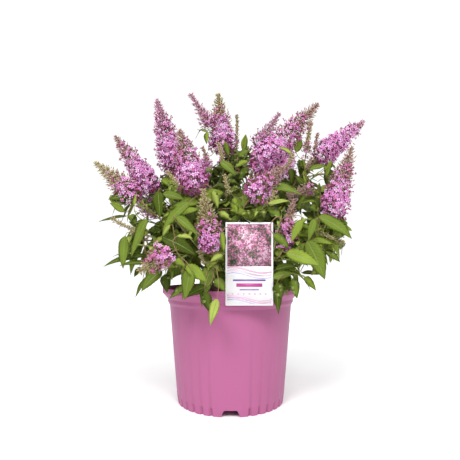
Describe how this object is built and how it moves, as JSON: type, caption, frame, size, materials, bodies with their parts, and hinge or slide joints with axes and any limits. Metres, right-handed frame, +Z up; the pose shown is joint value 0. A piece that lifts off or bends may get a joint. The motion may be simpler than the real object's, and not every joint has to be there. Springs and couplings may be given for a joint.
{
  "type": "potted butterfly bush",
  "caption": "Flowering butterfly bush in a plastic nursery pot, with short main stems, leafy masses tipped by tapering pink flower spikes, and a blank hanging plant label.",
  "frame": {"origin": "the middle of the plant's bounding box, at the level of the pot's foot", "axes": "+Z up, and -Y towards the side with the label, which the picture shows"},
  "size_m": [0.562, 0.4627, 0.656],
  "materials": {
    "pot": "moulded pink plastic, satin",
    "potting_mix": "moist dark brown crumbs of bark and peat",
    "bark": "thin brown bark with fine lengthwise ridges",
    "twig": "young tan to green shoots, dull",
    "foliage": "mid green leaves with paler ribs and pale undersides, satin",
    "blossom": "small soft lilac-pink florets with orange eyes",
    "label": "smooth white card with soft bands of pink and lilac"
  },
  "bodies": {
    "root": {"pot": "pot", "potting_mix": "potting_mix", "plant_label": "label", "stem_right": "bark", "stem_back_right": "bark", "stem_back_left": "bark", "stem_left": "bark", "stem_front_left": "bark", "stem_front_right": "bark", "stem_middle": "bark", "bough_left": "bark", "bough_upper_left": "bark", "bough_lower_left": "bark", "bough_front_left": "bark", "bough_inner_left": "bark", "bough_top": "bark", "bough_front_centre": "bark", "bough_front_right": "bark", "bough_lower_right": "bark", "bough_right": "bark", "bough_upper_right": "bark", "bough_top_right": "bark", "bough_back_1": "bark", "bough_back_2": "bark", "bough_back_3": "bark", "bough_back_4": "bark", "bough_back_5": "bark", "foliage_left": "foliage", "foliage_upper_left": "foliage", "foliage_lower_left": "foliage", "foliage_front_left": "foliage", "foliage_inner_left": "foliage", "foliage_top": "foliage", "foliage_front_centre": "foliage", "foliage_front_right": "foliage", "foliage_lower_right": "foliage", "foliage_right": "foliage", "foliage_upper_right": "foliage", "foliage_top_right": "foliage", "foliage_back_1": "foliage", "foliage_back_2": "foliage", "foliage_back_3": "foliage", "foliage_back_4": "foliage", "foliage_back_5": "foliage"}
  },
  "joints": []
}
